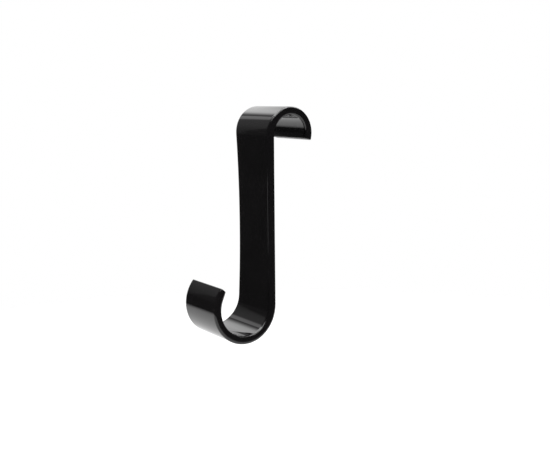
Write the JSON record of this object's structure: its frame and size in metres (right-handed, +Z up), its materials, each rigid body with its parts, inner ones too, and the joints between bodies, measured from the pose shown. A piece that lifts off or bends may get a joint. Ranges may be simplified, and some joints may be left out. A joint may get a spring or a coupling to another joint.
{
  "type": "rail hook",
  "caption": "Glossy black moulded plastic hook: a saddle that sits over a round rail, a flat shank in front of it and a forward curl with its lip bent back over the opening.",
  "frame": {"origin": "on the axis of the rail that the saddle sits on, at the middle of the hook's width", "axes": "+X along the rail, -Y towards the front, where the shank and the curl are, +Z up along the shank"},
  "size_m": [0.0414, 0.0789, 0.155],
  "materials": {
    "hook_plastic": "glossy black moulded plastic"
  },
  "bodies": {
    "root": {"hook": "hook_plastic"}
  },
  "joints": []
}
